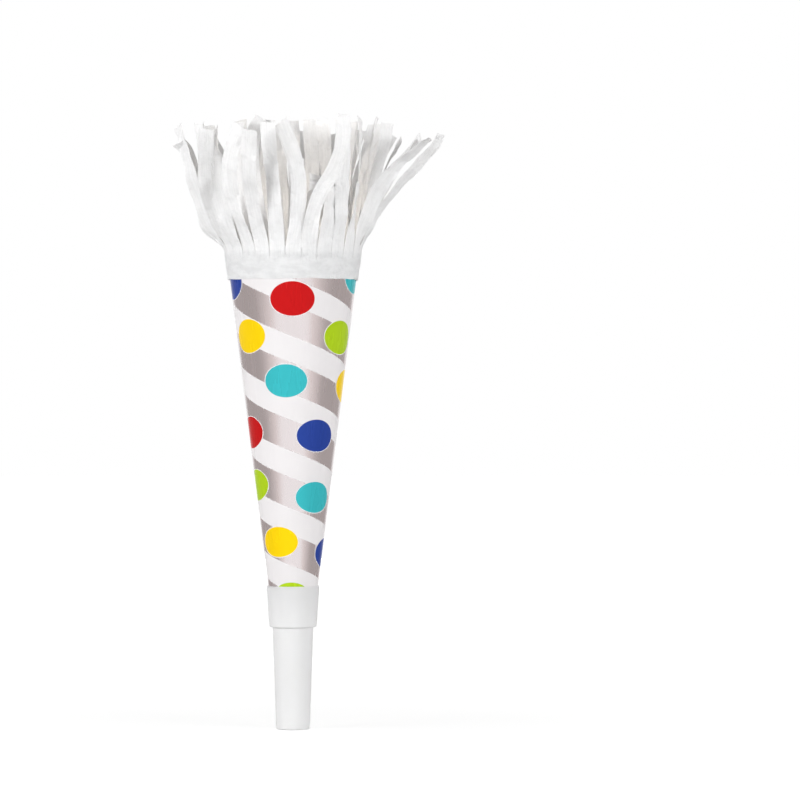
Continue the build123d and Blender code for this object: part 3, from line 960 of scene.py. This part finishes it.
class PARTYHORN_OT_stage(Operator):
    """Make the floor, the light and the camera"""

    bl_idname = "partyhorn.stage"
    bl_label = "Stage"

    def execute(self, context):
        scene = context.scene
        scene.view_settings.view_transform = "Standard"
        self.make_camera(scene)
        self.make_floor(scene)
        self.make_sky(scene)
        self.make_lamps(scene)
        self.make_flags(scene)
        return {"FINISHED"}

    def make_camera(self, scene):
        """A level camera that looks along +Y."""
        look = settings().stage
        camera = bpy.data.cameras.new("Camera")
        camera.lens = look.lens
        camera.sensor_width = 36
        camera.clip_end = 20
        mount = bpy.data.objects.new("Camera", camera)
        mount.location = (look.aside, -look.distance, look.height)
        mount.rotation_euler = (math.radians(90), 0, 0)
        scene.collection.objects.link(mount)
        scene.camera = mount

    def make_floor(self, scene):
        """A round floor that looks white to the camera and keeps the horn's shadow, with its glow dimmed near
        the horn's foot as a painted shade.
        """
        sides, radius, height = 96, 4.0, -0.05 * MM
        bounced_white, seen_white = 0.6, 0.95
        # The glow is weaker near the horn's foot than far out, which paints a faint shade round the foot
        near, far, foot_shade_glow, far_glow = 0.03, 0.3, 0.6, 0.76
        ring = [around(360 * k / sides, radius, height) for k in range(sides)]
        material, nodes = new_material("White floor")
        by_camera = nodes.add("ShaderNodeLightPath").outputs["Is Camera Ray"]
        white = nodes.span(by_camera, 0.0, 1.0, bounced_white, seen_white)
        paint = nodes.named("ShaderNodeBsdfDiffuse", Color=white)
        from_foot = nodes.vector("LENGTH", nodes.add("ShaderNodeNewGeometry").outputs["Position"])
        # Painted shade: less glow near the foot
        level = nodes.span(from_foot, near, far, foot_shade_glow, far_glow)
        glow = nodes.named("ShaderNodeEmission", Strength=nodes.math("MULTIPLY", by_camera, level))
        nodes.surface(nodes.listed("ShaderNodeAddShader", paint, glow)[0])
        floor = self.new_thing(scene, "Floor", ring, [tuple(range(sides))], material)
        floor.visible_glossy = False

    def new_thing(self, scene, name, points, faces, material):
        """An object of the stage from its points and faces."""
        mesh = bpy.data.meshes.new(name)
        mesh.from_pydata(points, [], faces)
        mesh.materials.append(material)
        thing = bpy.data.objects.new(name, mesh)
        scene.collection.objects.link(thing)
        return thing

    def make_sky(self, scene):
        """Light from all round, weaker overhead and behind, and plain white where it is seen or mirrored."""
        look = settings().stage
        side_rise, top_rise, full_back = 0.05, 0.45, 0.8
        world = bpy.data.worlds.new("Sky")
        world.use_nodes = True
        world.node_tree.nodes.clear()
        nodes = Nodes(world.node_tree)
        light_path = nodes.add("ShaderNodeLightPath").outputs
        seen = nodes.math("MAXIMUM", light_path["Is Camera Ray"], light_path["Is Glossy Ray"])
        seen = nodes.math("MAXIMUM", seen, light_path["Is Transmission Ray"])
        _, back, rise = nodes.axes(nodes.add("ShaderNodeTexCoord").outputs["Generated"])
        level = nodes.span(rise, side_rise, top_rise, look.sky_level, look.sky_level * look.sky_top)
        level = nodes.math("MULTIPLY", level, nodes.span(back, 0.0, full_back, 1.0, look.sky_back))
        level = nodes.span(seen, 0.0, 1.0, level, 1.0)
        sky = nodes.named("ShaderNodeBackground", Color=(1, 1, 1, 1), Strength=level)
        nodes.feed(nodes.add("ShaderNodeOutputWorld").inputs["Surface"], sky)
        scene.world = world

    def make_lamps(self, scene):
        """Wide soft lights at the horn's own height, and a faint warm one inside the fringe."""
        look = settings().stage
        reach, height, inside_height = 1.3, 0.11, 0.16
        lamps = (
            ("Lamp_left", look.left_share, -58),
            ("Lamp_right", look.right_share, 46),
            ("Lamp_back", look.back_share, 180),
        )
        for name, share, azimuth in lamps:
            data = bpy.data.lights.new(name, "AREA")
            data.energy = look.lamp_power * share
            data.shape = "RECTANGLE"
            data.size = 0.7
            data.size_y = 0.2
            self.hang_lamp(scene, data, around(azimuth, reach, height))
        data = bpy.data.lights.new("Lamp_inside", "POINT")
        data.energy = look.inside_power
        data.color = (1, 0.92, 0.83)
        data.shadow_soft_size = 6 * MM
        self.hang_lamp(scene, data, (0, 0, inside_height))

    def hang_lamp(self, scene, data, place):
        """Turns a lamp to the horn and hides it from the camera and from mirrors."""
        lamp = bpy.data.objects.new(data.name, data)
        lamp.location = place
        lamp.rotation_euler = (HORN_CENTRE - lamp.location).to_track_quat("-Z", "Y").to_euler()
        lamp.visible_camera = False
        lamp.visible_glossy = False
        scene.collection.objects.link(lamp)

    def make_flags(self, scene):
        """Two curved grey cards beside the horn, which only the foil and the gloss mirror."""
        radius, low, high, steps = 0.6, -0.6, 0.9, 24
        front, dimmest, back, front_level = 36, 78, 150, 0.85
        material, nodes = new_material("Grey card")
        turn = nodes.math("ABSOLUTE", nodes.azimuth(nodes.place()))
        dim = settings().stage.flag_level
        level = nodes.span(turn, math.radians(front), math.radians(dimmest), front_level, dim)
        nodes.surface(nodes.named("ShaderNodeEmission", Color=(1, 0.93, 0.91, 1), Strength=level))
        for name, sign in (("Flag_left", -1), ("Flag_right", 1)):
            turns = [sign * mixed(front, back, k / steps) for k in range(steps + 1)]
            points = [around(turn, radius, height) for height in (low, high) for turn in turns]
            faces = [(k, k + 1, k + steps + 2, k + steps + 1) for k in range(steps)]
            flag = self.new_thing(scene, name, points, faces, material)
            for rays in ("camera", "diffuse", "transmission", "volume_scatter", "shadow"):
                setattr(flag, f"visible_{rays}", False)


class PARTYHORN_OT_mouthpiece(Operator):
    """Finish the moulded mouthpiece"""

    bl_idname = "partyhorn.mouthpiece"
    bl_label = "Mouthpiece"

    def execute(self, context):
        dress("mouthpiece", mouthpiece_plastic())
        return {"FINISHED"}


class PARTYHORN_OT_reed(Operator):
    """Finish the reed's holder and ring, and make its film tongue"""

    bl_idname = "partyhorn.reed"
    bl_label = "Reed"

    def execute(self, context):
        plastic = reed_plastic()
        dress("reed_holder", plastic)
        dress("reed_ring", plastic)
        mesh = grid_mesh("reed_tongue_film", [tongue_rows()])
        thickness = settings().plastic.film_thickness
        film = new_piece("reed_tongue_film", mesh, reed_film(), thickness)
        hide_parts("reed_root", "reed_blade")
        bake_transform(film)
        return {"FINISHED"}


class PARTYHORN_OT_cone(Operator):
    """Print the outside of the rolled card cone and leave its inside plain"""

    bl_idname = "partyhorn.cone"
    bl_label = "Cone"

    def execute(self, context):
        facing_out = 0.5
        dress("cone", printed_card(), plain_card())
        for face in frame["nodes"]["cone"].data.polygons:
            outward = Vector((face.center.x, face.center.y, 0)).normalized()
            face.material_index = 0 if face.normal.dot(outward) > facing_out else 1
        return {"FINISHED"}


class PARTYHORN_OT_fringe_band(Operator):
    """Wind the two plies of crinkled tissue round the cone's rim"""

    bl_idname = "partyhorn.fringe_band"
    bl_label = "Fringe band"

    def execute(self, context):
        material = tissue_paper()
        for ply in PLIES:
            name = f"tissue_band_{ply}"
            mesh = grid_mesh(name, [band_rows(ply)], closed=True)
            piece = new_piece(name, mesh, material, settings().tissue.thickness)
            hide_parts(f"fringe_band_{ply}")
            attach(piece, "horn")
        return {"FINISHED"}


class PARTYHORN_OT_fringe_tufts(Operator):
    """Cut the tissue above the band into strips, tuft by tuft"""

    bl_idname = "partyhorn.fringe_tufts"
    bl_label = "Fringe tufts"

    def execute(self, context):
        material = bpy.data.materials["Tissue paper"]
        for ply in PLIES:
            for tuft in range(len(TUFT_JOINTS)):
                add_tuft(ply, tuft, material)
        return {"FINISHED"}


OPERATORS = (
    PARTYHORN_OT_stage,
    PARTYHORN_OT_mouthpiece,
    PARTYHORN_OT_reed,
    PARTYHORN_OT_cone,
    PARTYHORN_OT_fringe_band,
    PARTYHORN_OT_fringe_tufts,
)


class PARTYHORN_PT_panel(Panel):
    """Lists the horn's pieces and their settings"""

    bl_idname = "PARTYHORN_PT_panel"
    bl_label = "Party horn"
    bl_space_type = "VIEW_3D"
    bl_region_type = "UI"
    bl_category = "Party horn"

    def draw(self, context):
        for operator in OPERATORS:
            self.layout.operator(operator.bl_idname)
        horn = context.scene.party_horn
        for group in (horn.printing, horn.tissue, horn.plastic, horn.stage):
            box = self.layout.box()
            for name in group.__annotations__:
                box.prop(group, name)


CLASSES = (HornPrint, HornTissue, HornPlastic, HornStage, PartyHorn, *OPERATORS, PARTYHORN_PT_panel)


def register():
    for each in CLASSES:
        bpy.utils.register_class(each)
    bpy.types.Scene.party_horn = PointerProperty(type=PartyHorn)


def unregister():
    del bpy.types.Scene.party_horn
    for each in reversed(CLASSES):
        bpy.utils.unregister_class(each)


def main():
    """Makes every piece in order."""
    register()
    bpy.ops.partyhorn.stage()
    bpy.ops.partyhorn.mouthpiece()
    bpy.ops.partyhorn.reed()
    bpy.ops.partyhorn.cone()
    bpy.ops.partyhorn.fringe_band()
    bpy.ops.partyhorn.fringe_tufts()


if __name__ == "__main__":
    main()
